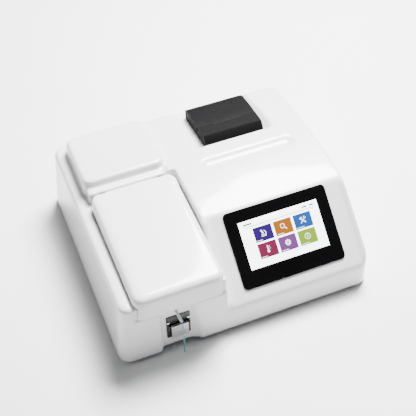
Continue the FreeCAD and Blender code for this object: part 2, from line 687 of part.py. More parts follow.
def platen_roller():
    roller = spin_rod(PLATEN_V, PLATEN_W, PLATEN_R, -30, 30)
    return in_printer(roller.fuse(spin_rod(PLATEN_V, PLATEN_W, PLATEN_PIN_R, -34, 39)))


def platen_gear():
    to_idler = bearing(PLATEN_V, PLATEN_W, IDLER_V, IDLER_W)
    return in_printer(gear(PLATEN_V, PLATEN_W, PLATEN_TEETH, to_idler, PLATEN_PIN_R))


def idler_first_tooth():
    """Half a tooth off the line to the platen gear, so that a gap faces its tooth."""
    return bearing(IDLER_V, IDLER_W, PLATEN_V, PLATEN_W) + 180.0 / IDLER_TEETH


def idler_gear():
    return in_printer(gear(IDLER_V, IDLER_W, IDLER_TEETH, idler_first_tooth(), IDLER_PIN_R + 0.06))


def motor_pinion():
    to_pinion = bearing(IDLER_V, IDLER_W, PINION_V, PINION_W)
    to_idler = bearing(PINION_V, PINION_W, IDLER_V, IDLER_W)
    step = 360.0 / IDLER_TEETH
    past = (idler_first_tooth() - to_pinion) % step
    pinion = gear(PINION_V, PINION_W, IDLER_TEETH, to_idler - past + step / 2, PINION_PIN_R)
    return in_printer(pinion.fuse(spin_rod(PINION_V, PINION_W, PINION_PIN_R, 24.0, GEAR_U1)))


def paper_motor():
    body = spin_rod(PINION_V, PINION_W, 7.5, -22, 29)
    mount = box(-10, 10, PINION_V - 7, PINION_V + 7, -PRINTER_DROP + 3, PINION_W)
    bore = spin_rod(PINION_V, PINION_W, PINION_PIN_R + 0.06, 23.5, 30)
    return in_printer(mount.fuse(body).cut(bore))


def thermal_head():
    """Finned sink across the frame with the heating strip in front of the platen."""
    sink = box(-30, 30, 36, 42.8, -11, 2).fuse(box(-40, 40, 36, 40.5, -11, 2))
    for i in range(11):
        u = -27.0 + 5 * i
        sink = sink.cut(box(u, u + 3, 35, 39, -12, 3))
    return in_printer(sink.fuse(box(-29, 29, 42.8, 44.5, -7, 1.5)).removeSplitter())


def tear_bar():
    z0 = PRINTER_RISE + 0.9
    bar = box(-30, 30, 36.5, 39.8, z0, z0 + 0.5)
    for i in range(30):
        u = -30.0 + 2 * i
        tooth = Part.Face(Part.makePolygon([V(u, 39.8, z0), V(u + 2, 39.8, z0), V(u + 1, 41.4, z0),
                                            V(u, 39.8, z0)])).extrude(V(0, 0, 0.5))
        bar = bar.fuse(tooth)
    return in_printer(bar.removeSplitter())


def paper_roll():
    half = ROLL_LEN / 2
    return in_printer(spin_rod(ROLL_V, ROLL_W, ROLL_R, -half, half).cut(
        spin_rod(ROLL_V, ROLL_W, 4.3, -half - 1, half + 1)))


def roll_spindle():
    return in_printer(joined([spin_rod(ROLL_V, ROLL_W, 4.0, -48, 48),
                              spin_rod(ROLL_V, ROLL_W, 9.0, -36, -29.5),
                              spin_rod(ROLL_V, ROLL_W, 9.0, 29.5, 36)]))


# ---- sipper ---------------------------------------------------------------------------------
def sleeve_rod(radius):
    a = V(*SLEEVE_TOP)
    b = V(*SLEEVE_END)
    return Part.makeCylinder(radius, (b - a).Length, a, b - a)


def sipper_sleeve():
    return sleeve_rod(SLEEVE_R).cut(sleeve_rod(SLEEVE_BORE))


def sipper_tube():
    """Thin sampling tube: down the sleeve, over one bend, then straight down."""
    a = V(*SLEEVE_TOP)
    b = V(*SLEEVE_END)
    along = (b - a).normalize()
    corner = b + along * ((b.y - TUBE_Y) / -along.y)
    reach = 4.0
    start = corner - along * reach
    end = V(corner.x, corner.y, corner.z - reach)
    half = (start + end) * 0.5
    turn = math.acos(max(-1, min(1, along.z * -1)))
    radius = reach / math.tan(turn / 2)
    centre = corner + (half - corner).normalize() * math.hypot(reach, radius)
    mid = centre + (corner - centre).normalize() * radius
    path = Part.Wire([Part.LineSegment(a, start).toShape(), Part.Arc(start, mid, end).toShape(),
                      Part.LineSegment(end, V(end.x, end.y, TUBE_TIP_Z)).toShape()])
    ring = Part.Wire(Part.Circle(a, along, TUBE_R).toShape())
    return path.makePipeShell([ring], True, True)


def escutcheon_plate():
    y0 = NICHE_Y - PLATE_T
    plate = box(PLATE_X0, PLATE_X1, y0, NICHE_Y, PLATE_Z0, PLATE_Z1)
    plate = plate.makeFillet(3.0, [e for e in plate.Edges if abs(e.Length - PLATE_T) < 0.01])
    for x in (PADDLE_X0 - 2.6, PADDLE_X1 + 0.4):
        ear = box(x, x + 2.2, PADDLE_AXIS_Y, y0, PADDLE_AXIS_Z - 2.6, PADDLE_AXIS_Z + 2.6)
        ear = ear.fuse(rod(x, PADDLE_AXIS_Y, PADDLE_AXIS_Z, (1, 0, 0), 2.6, 2.2))
        plate = plate.fuse(ear).cut(rod(x - 1, PADDLE_AXIS_Y, PADDLE_AXIS_Z, (1, 0, 0), 1.06, 5))
    plate = plate.cut(rod(STEM_X, 0, STEM_Z, (0, 1, 0), 2.8, 12))
    for x in (PLATE_X0 + 3.2, PLATE_X1 - 3.2):
        plate = plate.cut(rod(x, 5, 72, (0, 1, 0), 1.6, 5))
    return plate.removeSplitter()


def escutcheon_screws():
    made = []
    for x in (PLATE_X0 + 3.2, PLATE_X1 - 3.2):
        head = rod(x, NICHE_Y - PLATE_T - 1.4, 72, (0, 1, 0), 2.6, 1.4)
        head = head.cut(box(x - 0.4, x + 0.4, 0, NICHE_Y - PLATE_T - 0.8, 70, 74))
        made.append(head.fuse(rod(x, NICHE_Y - PLATE_T, 72, (0, 1, 0), 1.5, PLATE_T)))
    return group(made)


def trigger_paddle():
    y0 = PADDLE_AXIS_Y - 3.4
    plate = box(PADDLE_X0, PADDLE_X1, y0, y0 + 2.2, 33.0, PADDLE_AXIS_Z)
    plate = plate.fuse(rod(PADDLE_X0, PADDLE_AXIS_Y, PADDLE_AXIS_Z, (1, 0, 0), 2.4, PADDLE_X1 - PADDLE_X0))
    plate = plate.fuse(box(PADDLE_X0, PADDLE_X1, y0, PADDLE_AXIS_Y, PADDLE_AXIS_Z - 2.4, PADDLE_AXIS_Z + 2.2))
    plate = plate.fuse(rod(STEM_X, y0 + 1, STEM_Z, (0, 1, 0), 1.6, 9.4))
    plate = plate.cut(rod(PADDLE_X0 - 1, PADDLE_AXIS_Y, PADDLE_AXIS_Z, (1, 0, 0), 1.0, 60))
    return plate.removeSplitter()


def paddle_pin():
    return rod(PADDLE_X0 - 2.6, PADDLE_AXIS_Y, PADDLE_AXIS_Z, (1, 0, 0), 1.0, PADDLE_X1 - PADDLE_X0 + 5.2)


def paddle_spring():
    helix = Part.makeHelix(0.85, 3.2, 3.4)
    ring = Part.Wire(Part.Circle(V(3.4, 0, 0), V(0, 1, 0.04), 0.3).toShape())
    coil = Part.Wire(helix.Edges).makePipeShell([ring], True, True)
    coil.rotate(V(0, 0, 0), V(1, 0, 0), -90)
    coil.translate(V(STEM_X, 2.85, STEM_Z))
    return coil


def trigger_switch():
    """Switch with its button, on an angle bracket that stands on the base pan."""
    front, plate_y, back = 14.5, 21.0, 36.0
    x0, x1 = STEM_X - 14, STEM_X + 14
    body = box(STEM_X - 10, STEM_X + 10, front, plate_y, STEM_Z - 3, STEM_Z + 7)
    button = rod(STEM_X, front - 1.5, STEM_Z, (0, 1, 0), 1.5, 2)
    upright = box(x0, x1, plate_y, plate_y + 1.5, PAN_T, STEM_Z + 10)
    foot = box(x0, x1, plate_y, back, PAN_T, PAN_T + 1.5)
    return joined([body, button, upright, foot])


# ---- measuring bay ----------------------------------------------------------------------------
def pump_body():
    x, y = PUMP_X, PUMP_Y
    body = rounded_box(x - PUMP_HALF, x + PUMP_HALF, y - PUMP_HALF, y + PUMP_HALF, PUMP_FLOOR, PUMP_TOP, 6)
    body = body.cut(rod(x, y, PUMP_FLOOR + 4, (0, 0, 1), PUMP_CAVITY, 40))
    body = body.cut(rod(x, y, PUMP_FLOOR - 1, (0, 0, 1), 4.0, 10))
    for side in (-1, 1):
        gap = sorted((x + side * 15.0, x + side * 21.0))
        body = body.cut(box(gap[0], gap[1], y - 40, y, PUMP_FLOOR + 8, 120))
    return body


def roller_places():
    angles = [math.radians(90 + 120 * i) for i in range(3)]
    return [(PUMP_X + ROLLER_ORBIT * math.cos(a), PUMP_Y + ROLLER_ORBIT * math.sin(a)) for a in angles]


def pump_rotor():
    x, y = PUMP_X, PUMP_Y
    disc_r, disc_t = 16.5, 3
    low_z = PUMP_FLOOR + 5
    shaft = rod(x, y, PUMP_FLOOR - 20, (0, 0, 1), 3.0, 30)
    low = rod(x, y, low_z, (0, 0, 1), disc_r, disc_t)
    high = rod(x, y, PUMP_TOP - 5, (0, 0, 1), disc_r, disc_t)
    hub = rod(x, y, low_z, (0, 0, 1), 6.5, PUMP_TOP - 2 - low_z)
    pins = [rod(px, py, low_z + 1, (0, 0, 1), ROLLER_PIN_R, PUMP_TOP - 4 - low_z) for px, py in roller_places()]
    return joined([shaft, low, high, hub] + pins)


def pump_rollers():
    z0 = PUMP_FLOOR + 8.3
    z1 = PUMP_TOP - 5.3
    return group([tube(x, y, z0, (0, 0, 1), ROLLER_R, ROLLER_PIN_R, z1 - z0) for x, y in roller_places()])


def pump_tube():
    """Soft tube round the rollers, with both ends coming out at the front of the pump."""
    r = 18.9
    z = PUMP_FLOOR + 12
    x, y = PUMP_X, PUMP_Y
    path = Part.Wire([
        Part.LineSegment(V(x - r, y - 30, z), V(x - r, y, z)).toShape(),
        Part.Arc(V(x - r, y, z), V(x, y + r, z), V(x + r, y, z)).toShape(),
        Part.LineSegment(V(x + r, y, z), V(x + r, y - 30, z)).toShape()])
    ring = Part.Wire(Part.Circle(V(x - r, y - 30, z), V(0, 1, 0), 1.6).toShape())
    return path.makePipeShell([ring], True, True)


def pump_motor():
    x, y = PUMP_X, PUMP_Y
    body_z = 30.0
    body = rod(x, y, body_z, (0, 0, 1), 17.0, TRAY_FLOOR - body_z)
    post = tube(x, y, PAN_T, (0, 0, 1), 18.0, 15.0, body_z - PAN_T)
    return body.fuse(post).cut(rod(x, y, PUMP_FLOOR - 21, (0, 0, 1), 3.08, 30)).removeSplitter()


def flow_cell_block():
    cell_y = CELL_MID_Y
    holder = rounded_box(BEAM_X - 22, BEAM_X + 22, cell_y - 28, cell_y + 28, PUMP_FLOOR, 120, 3)
    holder = holder.cut(box(BEAM_X - CELL_HALF - 0.4, BEAM_X + CELL_HALF + 0.4,
                            cell_y - CELL_HALF - 0.4, cell_y + CELL_HALF + 0.4, CELL_Z0, 130))
    return holder.cut(rod(BEAM_X, cell_y - 38, WHEEL_Z, (0, 1, 0), 3.0, 80))


def flow_cell():
    cell = box(BEAM_X - CELL_HALF, BEAM_X + CELL_HALF, CELL_MID_Y - CELL_HALF, CELL_MID_Y + CELL_HALF,
               CELL_Z0, CELL_Z1)
    return cell.cut(box(BEAM_X - 2.0, BEAM_X + 2.0, CELL_MID_Y - 4.5, CELL_MID_Y + 4.5, 90, 112))


def cell_cap():
    """Cap with the two spouts that the tubes go on."""
    half = 7.5
    top = CELL_Z1 + 5
    cap = box(BEAM_X - half, BEAM_X + half, CELL_MID_Y - half, CELL_MID_Y + half, CELL_Z1, top)
    for x in (BEAM_X - 3.5, BEAM_X + 3.5):
        cap = cap.fuse(rod(x, CELL_MID_Y, top, (0, 0, 1), 1.5, 3))
    return cap


def detector():
    """Sensor can on its own small board, with a foot on the tray floor."""
    x0, x1 = BEAM_X - 18, BEAM_X + 18
    face_y = 119.6
    board = box(x0, x1, face_y - BOARD_T, face_y, PUMP_FLOOR, 118)
    can = rod(BEAM_X, face_y, WHEEL_Z, (0, 1, 0), 5.0, 6)
    foot = box(x0, x1, 112, face_y - BOARD_T, PUMP_FLOOR, PUMP_FLOOR + 2)
    return joined([board, can, foot])


# ---- light source and filter wheel ----------------------------------------------------------------
def light_tube():
    return tube(BEAM_X, TRAY_Y1 + 0.2, WHEEL_Z, (0, 1, 0), 7.0, 5.5, WHEEL_Y0 - 2 - TRAY_Y1)


def filter_wheel():
    wheel = rod(WHEEL_X, WHEEL_Y0, WHEEL_Z, (0, 1, 0), WHEEL_R, WHEEL_T)
    for x, z in filter_places():
        wheel = wheel.cut(rod(x, WHEEL_Y0 - 1, z, (0, 1, 0), FILTER_R - 1, WHEEL_T + 2))
        wheel = wheel.cut(rod(x, WHEEL_Y0 + FILTER_SEAT, z, (0, 1, 0), FILTER_R, WHEEL_T))
    hub = rod(WHEEL_X, WHEEL_Y0 - 4, WHEEL_Z, (0, 1, 0), 8.0, 4)
    shaft = rod(WHEEL_X, WHEEL_Y0 - 16, WHEEL_Z, (0, 1, 0), 2.5, 20)
    return joined([wheel, hub, shaft])


def filter_places():
    orbit = WHEEL_X - BEAM_X
    return [(WHEEL_X - orbit * math.cos(2 * math.pi * i / 8), WHEEL_Z + orbit * math.sin(2 * math.pi * i / 8))
            for i in range(8)]


def filters():
    return group([rod(x, WHEEL_Y0 + FILTER_SEAT, z, (0, 1, 0), FILTER_R, 4.0) for x, z in filter_places()])


def wheel_motor():
    half = 21.0
    y0 = WHEEL_Y0 - 42
    body = box(WHEEL_X - half, WHEEL_X + half, y0, WHEEL_Y0 - 8, WHEEL_Z - half, WHEEL_Z + half)
    return body.cut(rod(WHEEL_X, WHEEL_Y0 - 17, WHEEL_Z, (0, 1, 0), 2.58, 20))


def motor_bracket():
    x0, x1 = WHEEL_X - 20, WHEEL_X + 22
    y1 = WHEEL_Y0 - 42
    upright = box(x0, x1, y1 - 2, y1, PAN_T, WHEEL_Z + 20)
    foot = box(x0, x1, y1 - 20, y1, PAN_T, PAN_T + 2)
    return upright.fuse(foot).removeSplitter()


def lamp_housing():
    """Sheet box round the lamp: open below, a shelf under the lamp, vents above, a port for the lens."""
    wall = 2.0
    x0, x1 = BEAM_X - 26, BEAM_X + 26
    y0, y1 = 362.0, 400.0
    top = 128.0
    shell = box(x0, x1, y0, y1, PAN_T, top)
    shell = shell.cut(box(x0 + wall, x1 - wall, y0 + wall, y1 - wall, LAMP_BASE_Z, top - wall))
    shell = shell.cut(box(x0 + wall, x1 - wall, y0 + wall, y1 - wall, 1, LAMP_BASE_Z - wall))
    shell = shell.cut(rod(BEAM_X, y0 - 7, WHEEL_Z, (0, 1, 0), LENS_R + 2, 12))
    for i in range(5):
        x = x0 + 6 + 9 * i
        shell = shell.cut(box(x, x + 4, y0 + 8, y1 - 8, top - 8, top + 7))
    return shell


def lens_barrel():
    return tube(BEAM_X, LENS_Y - 10, WHEEL_Z, (0, 1, 0), LENS_R + 2, LENS_R, 34)


def condenser_lens():
    ball_r = 22.0
    disc = rod(BEAM_X, LENS_Y, WHEEL_Z, (0, 1, 0), LENS_R, LENS_T)
    return disc.common(Part.makeSphere(ball_r, V(BEAM_X, LENS_Y + LENS_T - ball_r, WHEEL_Z)))


def lamp():
    neck_z = LAMP_BASE_Z + 24
    base = rod(BEAM_X, LAMP_Y, LAMP_BASE_Z, (0, 0, 1), 9.0, 24)
    bulb = rod(BEAM_X, LAMP_Y, neck_z, (0, 0, 1), LAMP_R, LAMP_TIP_Z - neck_z)
    tip = Part.makeSphere(LAMP_R, V(BEAM_X, LAMP_Y, LAMP_TIP_Z))
    return joined([base, bulb, tip])


# ---- electrics and rear panel ------------------------------------------------------------------------
def mainboard():
    """Board on four posts with two chips, two connectors and two capacitors."""
    x0, x1, y0, y1 = 226.0, 326.0, 90.0, 260.0
    low = PAN_T + 10
    top = low + BOARD_T
    board = box(x0, x1, y0, y1, low, top)
    chips = [box(240, 262, 120, 142, top, top + 2.4), box(280, 300, 110, 130, top, top + 2.4)]
    connectors = [box(236, 316, 246, 256, top, top + 8.4), box(232, 240, 170, 230, top, top + 10.4)]
    capacitors = [rod(300, y, top, (0, 0, 1), 6, 16) for y in (160, 180)]
    posts = [tube(x, y, PAN_T, (0, 0, 1), 3.5, 1.3, 10) for x in (x0 + 5, x1 - 5) for y in (y0 + 5, y1 - 5)]
    return joined([board] + chips + connectors + capacitors + posts)


def power_supply():
    x0, x1, y0, y1 = 346.0, 456.0, 286.0, 386.0
    top = 44.0
    case = box(x0, x1, y0, y1, PAN_T, top)
    for i in range(9):
        x = x0 + 8 + 11 * i
        case = case.cut(box(x, x + 5, y0 + 14, y1 - 14, top - 1.5, top + 2))
    return case


def fan_frame():
    h = FAN_SIZE / 2
    frame = rounded_box(-h, h, -h, h, 0, FAN_T, 4)
    frame = frame.cut(Part.makeCylinder(38.0, FAN_T + 2, V(0, 0, -1)))
    for sx in (-1, 1):
        for sy in (-1, 1):
            frame = frame.cut(Part.makeCylinder(2.2, FAN_T + 2, V(sx * 35.5, sy * 35.5, -1)))
    for i in range(3):
        strut = box(10, 39, -2, 2, 0, 3)
        strut.rotate(V(0, 0, 0), V(0, 0, 1), 120 * i + 30)
        frame = frame.fuse(strut)
    hub = Part.makeCylinder(16.0, 4, V(0, 0, 0)).cut(Part.makeCylinder(2.06, 6, V(0, 0, -1)))
    frame = to_fan(frame.fuse(hub))
    for x in (FAN_X - h, FAN_X + h - 10):
        frame = frame.fuse(box(x, x + 10, FAN_Y0, FAN_Y0 + FAN_T, 2, FAN_Z - h + 5))
    return frame.removeSplitter()


def to_fan(solid):
    solid.rotate(V(0, 0, 0), V(1, 0, 0), -90)
    solid.translate(V(FAN_X, FAN_Y0, FAN_Z))
    return solid


def fan_rotor():
    hub = Part.makeCylinder(15.5, FAN_T - 6, V(0, 0, 4.6))
    pieces = [hub, Part.makeCylinder(2.0, 5, V(0, 0, 0.5))]
    for i in range(7):
        blade = box(14, 36.5, -1.0, 1.0, 6, FAN_T - 3)
        blade.rotate(V(0, 0, FAN_T / 2), V(1, 0, 0), 38)
        blade = blade.common(Part.makeCylinder(36.5, FAN_T - 7, V(0, 0, 5)))
        blade.rotate(V(0, 0, 0), V(0, 0, 1), 360.0 * i / 7)
        pieces.append(blade)
    return to_fan(joined(pieces))


def flanged_body(x0, x1, y0, flange_x, flange_z):
    """Socket body behind the rear wall with a thin flange on its outside."""
    body = box(x0, x1, y0, REAR_FLAT_Y, SOCKET_Z0, SOCKET_Z1)
    flange = box(x0 - flange_x, x1 + flange_x, REAR_FLAT_Y, REAR_FLAT_Y + 2,
                 SOCKET_Z0 - flange_z, SOCKET_Z1 + flange_z)
    return body.fuse(flange).removeSplitter()


def mains_inlet():
    mid_x = (INLET_X0 + INLET_X1) / 2
    inlet = flanged_body(INLET_X0, INLET_X1, 405, 5, 4)
    inlet = inlet.cut(box(INLET_X0 + 3, INLET_X1 - 3, 422, 450, SOCKET_Z0 + 3, SOCKET_Z1 - 3))
    for off_x, z in ((-6, 30.0), (0, 34.0), (6, 30.0)):
        inlet = inlet.fuse(box(mid_x + off_x - 1, mid_x + off_x + 1, 421, 438, z - 2, z + 2))
    return inlet


def rocker_body():
    body = flanged_body(SWITCH_X0, SWITCH_X1, 416, 3, 3)
    body = body.cut(box(SWITCH_X0 + 2, SWITCH_X1 - 2, 430, 450, SOCKET_Z0 + 2.5, SOCKET_Z1 - 2.5))
    return body.cut(rod(SWITCH_X0 - 1, SWITCH_AXIS_Y, SWITCH_AXIS_Z, (1, 0, 0), 1.06, 20))


def rocker():
    outline = [(441.6, 26.4), (443.0, 32.5), (444.2, 37.7), (438.0, 37.5), (435.0, 32.5), (437.0, 27.6)]
    key = across(outline, SWITCH_X0 + 2.4, SWITCH_X1 - 2.4)
    pin = rod(SWITCH_X0 + 0.6, SWITCH_AXIS_Y, SWITCH_AXIS_Z, (1, 0, 0), 1.0, 16.8)
    return key.fuse(pin).removeSplitter()


def ports_plate():
    plate = box(PORTS_X0 - 3, PORTS_X1 + 3, REAR_FLAT_Y, REAR_FLAT_Y + 1.4, PORTS_Z0 - 3, PORTS_Z1 + 3)
    body = plate.fuse(box(PORTS_X0, PORTS_X1, 420, REAR_FLAT_Y, PORTS_Z0, PORTS_Z1))
    for x0, x1, z0, z1 in ((250, 264, 28, 35), (272, 286, 28, 35), (294, 312, 26, 36)):
        body = body.cut(box(x0, x1, 430, 450, z0, z1))
    return body.removeSplitter()


def waste_spigot():
    x, z = SPIGOT_X, SPIGOT_Z
    nut_r = 7.0
    inner_y = 424.0
    pipe = rod(x, inner_y, z, (0, 1, 0), SPIGOT_R, REAR_MOST - inner_y)
    outer_nut = rod(x, REAR_FLAT_Y, z, (0, 1, 0), nut_r, SPIGOT_NUT_T)
    inner_nut = rod(x, inner_y + 7, z, (0, 1, 0), nut_r, REAR_FLAT_Y - WALL - inner_y - 7)
    neck = rod(x, 437, z, (0, 1, 0), 4.8, 5)
    whole = joined([pipe, outer_nut, inner_nut, neck])
    return whole.cut(rod(x, inner_y - 4, z, (0, 1, 0), 1.8, 60))


PIECES = {
    "upper_housing": upper_housing,
    "base_pan": base_pan,
    "rubber_feet": feet,
    "housing_screws": housing_screws,
    "bay_lid": lid,
    "lid_hinge_pins": lid_hinge_pins,
    "lid_hinge_brackets": lid_hinge_brackets,
    "bay_tray": bay_tray,
    "touch_glass": touch_glass,
    "display_panel": display_panel,
    "display_carrier": display_carrier,
    "controller_board": controller_board,
    "printer_frame": printer_frame,
    "printer_door": printer_door,
    "door_pins": door_pins,
    "latch_tongue": latch_tongue,
    "platen_roller": platen_roller,
    "platen_gear": platen_gear,
    "idler_gear": idler_gear,
    "motor_pinion": motor_pinion,
    "paper_motor": paper_motor,
    "thermal_head": thermal_head,
    "tear_bar": tear_bar,
    "paper_roll": paper_roll,
    "roll_spindle": roll_spindle,
    "sipper_sleeve": sipper_sleeve,
    "sipper_tube": sipper_tube,
    "escutcheon_plate": escutcheon_plate,
    "escutcheon_screws": escutcheon_screws,
    "trigger_paddle": trigger_paddle,
    "paddle_pin": paddle_pin,
    "paddle_spring": paddle_spring,
    "trigger_switch": trigger_switch,
    "pump_body": pump_body,
    "pump_rotor": pump_rotor,
    "pump_rollers": pump_rollers,
    "pump_tube": pump_tube,
    "pump_motor": pump_motor,
    "flow_cell_block": flow_cell_block,
    "flow_cell": flow_cell,
    "cell_cap": cell_cap,
    "detector": detector,
    "light_tube": light_tube,
    "filter_wheel": filter_wheel,
    "filters": filters,
    "wheel_motor": wheel_motor,
    "motor_bracket": motor_bracket,
    "lamp_housing": lamp_housing,
    "lens_barrel": lens_barrel,
    "condenser_lens": condenser_lens,
    "lamp": lamp,
    "mainboard": mainboard,
    "power_supply": power_supply,
    "fan_frame": fan_frame,
    "fan_rotor": fan_rotor,
    "mains_inlet": mains_inlet,
    "rocker_body": rocker_body,
    "rocker": rocker,
    "ports_plate": ports_plate,
    "waste_spigot": waste_spigot,
}


def write():
    os.makedirs("parts", exist_ok=True)
    shift = V(-WIDTH / 2, -(REAR_MOST + FRONT_MOST) / 2, FOOT_HEIGHT)
    for name, make in PIECES.items():
        shape = make()
        shape.translate(shift)
        shape.exportStep("parts/%s.step" % name)
        box_now = shape.BoundBox
        print("%-20s %2d solids valid=%s vol=%.0f  x %.1f..%.1f y %.1f..%.1f z %.1f..%.1f" % (
            name, len(shape.Solids), shape.isValid(), shape.Volume,
            box_now.XMin, box_now.XMax, box_now.YMin, box_now.YMax, box_now.ZMin, box_now.ZMax))


write()
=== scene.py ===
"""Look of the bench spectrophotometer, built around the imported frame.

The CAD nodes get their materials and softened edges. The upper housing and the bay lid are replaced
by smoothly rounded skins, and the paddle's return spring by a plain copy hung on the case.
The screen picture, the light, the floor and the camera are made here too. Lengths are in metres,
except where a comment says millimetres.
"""
import json
import math

import bpy
import bmesh
import numpy as np
from mathutils import Matrix, Vector


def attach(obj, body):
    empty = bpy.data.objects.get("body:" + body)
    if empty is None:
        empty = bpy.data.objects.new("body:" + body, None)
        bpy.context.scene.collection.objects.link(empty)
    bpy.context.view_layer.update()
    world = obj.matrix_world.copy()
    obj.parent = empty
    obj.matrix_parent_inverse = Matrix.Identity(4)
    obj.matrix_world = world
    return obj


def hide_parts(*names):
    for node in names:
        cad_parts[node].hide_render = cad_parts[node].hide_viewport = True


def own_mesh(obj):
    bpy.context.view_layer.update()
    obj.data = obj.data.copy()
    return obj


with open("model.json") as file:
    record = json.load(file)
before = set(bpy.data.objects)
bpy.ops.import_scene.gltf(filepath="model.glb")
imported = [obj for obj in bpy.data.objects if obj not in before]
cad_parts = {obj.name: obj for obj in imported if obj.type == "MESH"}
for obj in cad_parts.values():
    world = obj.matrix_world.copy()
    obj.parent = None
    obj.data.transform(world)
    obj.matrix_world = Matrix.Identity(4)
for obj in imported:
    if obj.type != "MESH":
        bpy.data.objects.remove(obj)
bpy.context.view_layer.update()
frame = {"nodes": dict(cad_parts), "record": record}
nodes = frame["nodes"]
MM = 0.001


def link(obj):
    bpy.context.scene.collection.objects.link(obj)


# ---- camera --------------------------------------------------------------------------------
CAMERA_AZIMUTH = 0.3595
CAMERA_ELEVATION = 0.8345
CAMERA_ROLL = -0.0288
CAMERA_DISTANCE = 1.74016
CAMERA_TARGET = Vector((0.0196, 0.01939, 0.064))
CAMERA_LENS = 77.84
CAMERA_NEAR = 0.01
SHIFT_X = -0.0042
SHIFT_Y = -0.0028


def make_camera():
    """Camera on a sphere around its target, turned a little about its own axis."""
    cos_e = math.cos(CAMERA_ELEVATION)
    back = Vector((-math.sin(CAMERA_AZIMUTH) * cos_e, -math.cos(CAMERA_AZIMUTH) * cos_e,
                   math.sin(CAMERA_ELEVATION)))
    right = (-back).cross(Vector((0, 0, 1))).normalized()
    up = right.cross(-back)
    cos_r = math.cos(CAMERA_ROLL)
    sin_r = math.sin(CAMERA_ROLL)
    side = right * cos_r + up * sin_r
    top = up * cos_r - right * sin_r
    data = bpy.data.cameras.new("camera")
    data.lens = CAMERA_LENS
    data.shift_x = SHIFT_X
    data.shift_y = SHIFT_Y
    data.clip_start = CAMERA_NEAR
    camera = bpy.data.objects.new("camera", data)
    turn = Matrix((side, top, back)).transposed().to_4x4()
    camera.matrix_world = Matrix.Translation(CAMERA_TARGET + back * CAMERA_DISTANCE) @ turn
    link(camera)
    bpy.context.scene.camera = camera


# ---- light and floor -------------------------------------------------------------------------
ROOM_COLOR = (0.94, 0.96, 1.0, 1.0)
ROOM_STRENGTH = 0.12
FLOOR_HALF = 30.0
FLOOR_COLOR = (0.88, 0.88, 0.88)


def area_light(name, place, aim, size, power):
    data = bpy.data.lights.new(name, "AREA")
    data.shape = "RECTANGLE"
    data.size, data.size_y = size
    data.energy = power
    light = bpy.data.objects.new(name, data)
    light.location = place
    light.rotation_euler = (Vector(aim) - Vector(place)).to_track_quat("-Z", "Y").to_euler()
    link(light)


def make_lights():
    """A strong soft key from behind and right, and two weak lights that lift the sides."""
    area_light("key", place=(0.68, 0.66, 1.9), aim=(0, 0.05, 0.05), size=(0.9, 0.9), power=300.0)
    area_light("fill", place=(1.6, -0.2, 1.3), aim=(0, 0, 0.08), size=(0.8, 1.0), power=5.0)
    area_light("left", place=(-1.5, -0.1, 1.6), aim=(0, 0, 0.08), size=(0.10, 0.7), power=6.0)


def make_room():
    world = bpy.data.worlds.new("room")
    world.use_nodes = True
    background = world.node_tree.nodes["Background"]
    background.inputs["Color"].default_value = ROOM_COLOR
    background.inputs["Strength"].default_value = ROOM_STRENGTH
    bpy.context.scene.world = world


def make_floor():
    mesh = bpy.data.meshes.new("floor")
    corners = [(-FLOOR_HALF, -FLOOR_HALF, 0), (FLOOR_HALF, -FLOOR_HALF, 0),
               (FLOOR_HALF, FLOOR_HALF, 0), (-FLOOR_HALF, FLOOR_HALF, 0)]
    mesh.from_pydata(corners, [], [(0, 1, 2, 3)])
    floor = bpy.data.objects.new("floor", mesh)
    floor.data.materials.append(surface("floor_paint", FLOOR_COLOR, 0.6, tint=0.01, scale=3.0))
    link(floor)


# ---- material building blocks ----------------------------------------------------------------
NOISE_LOW = 0.3
NOISE_HIGH = 0.7
TONE_DETAIL = 4.0
SHEEN_DETAIL = 3.0
RELIEF_DETAIL = 2.0
SHEEN_FINER = 2.7
LEAST_ROUGH = 0.02
RELIEF_DEPTH = 0.1 * MM


def noise(tree, mapping, scale, detail):
    texture = tree.nodes.new("ShaderNodeTexNoise")
    texture.inputs["Scale"].default_value = scale
    texture.inputs["Detail"].default_value = detail
    tree.links.new(mapping.outputs["Vector"], texture.inputs["Vector"])
    return texture.outputs["Fac"]


def stretched_coords(tree, stretch):
    coords = tree.nodes.new("ShaderNodeTexCoord")
    mapping = tree.nodes.new("ShaderNodeMapping")
    mapping.inputs["Scale"].default_value = stretch
    tree.links.new(coords.outputs["Object"], mapping.inputs["Vector"])
    return mapping


def add_tone(tree, mapping, color, tint, scale):
    """Lets the colour drift a little darker and lighter."""
    ramp = tree.nodes.new("ShaderNodeValToRGB")
    dark, light = ramp.color_ramp.elements
    dark.position = NOISE_LOW
    light.position = NOISE_HIGH
    dark.color = (*[c * (1 - tint) for c in color], 1)
    light.color = (*[min(1.0, c * (1 + tint)) for c in color], 1)
    tree.links.new(noise(tree, mapping, scale, TONE_DETAIL), ramp.inputs["Fac"])
    shader = tree.nodes["Principled BSDF"]
    tree.links.new(ramp.outputs["Color"], shader.inputs["Base Color"])


def add_sheen(tree, mapping, rough, rough_spread, scale):
    """Lets the roughness vary around its middle value."""
    spread = tree.nodes.new("ShaderNodeMapRange")
    spread.inputs["From Min"].default_value = NOISE_LOW
    spread.inputs["From Max"].default_value = NOISE_HIGH
    spread.inputs["To Min"].default_value = max(LEAST_ROUGH, rough - rough_spread)
    spread.inputs["To Max"].default_value = rough + rough_spread
    tree.links.new(noise(tree, mapping, scale * SHEEN_FINER, SHEEN_DETAIL), spread.inputs["Value"])
    shader = tree.nodes["Principled BSDF"]
    tree.links.new(spread.outputs["Result"], shader.inputs["Roughness"])


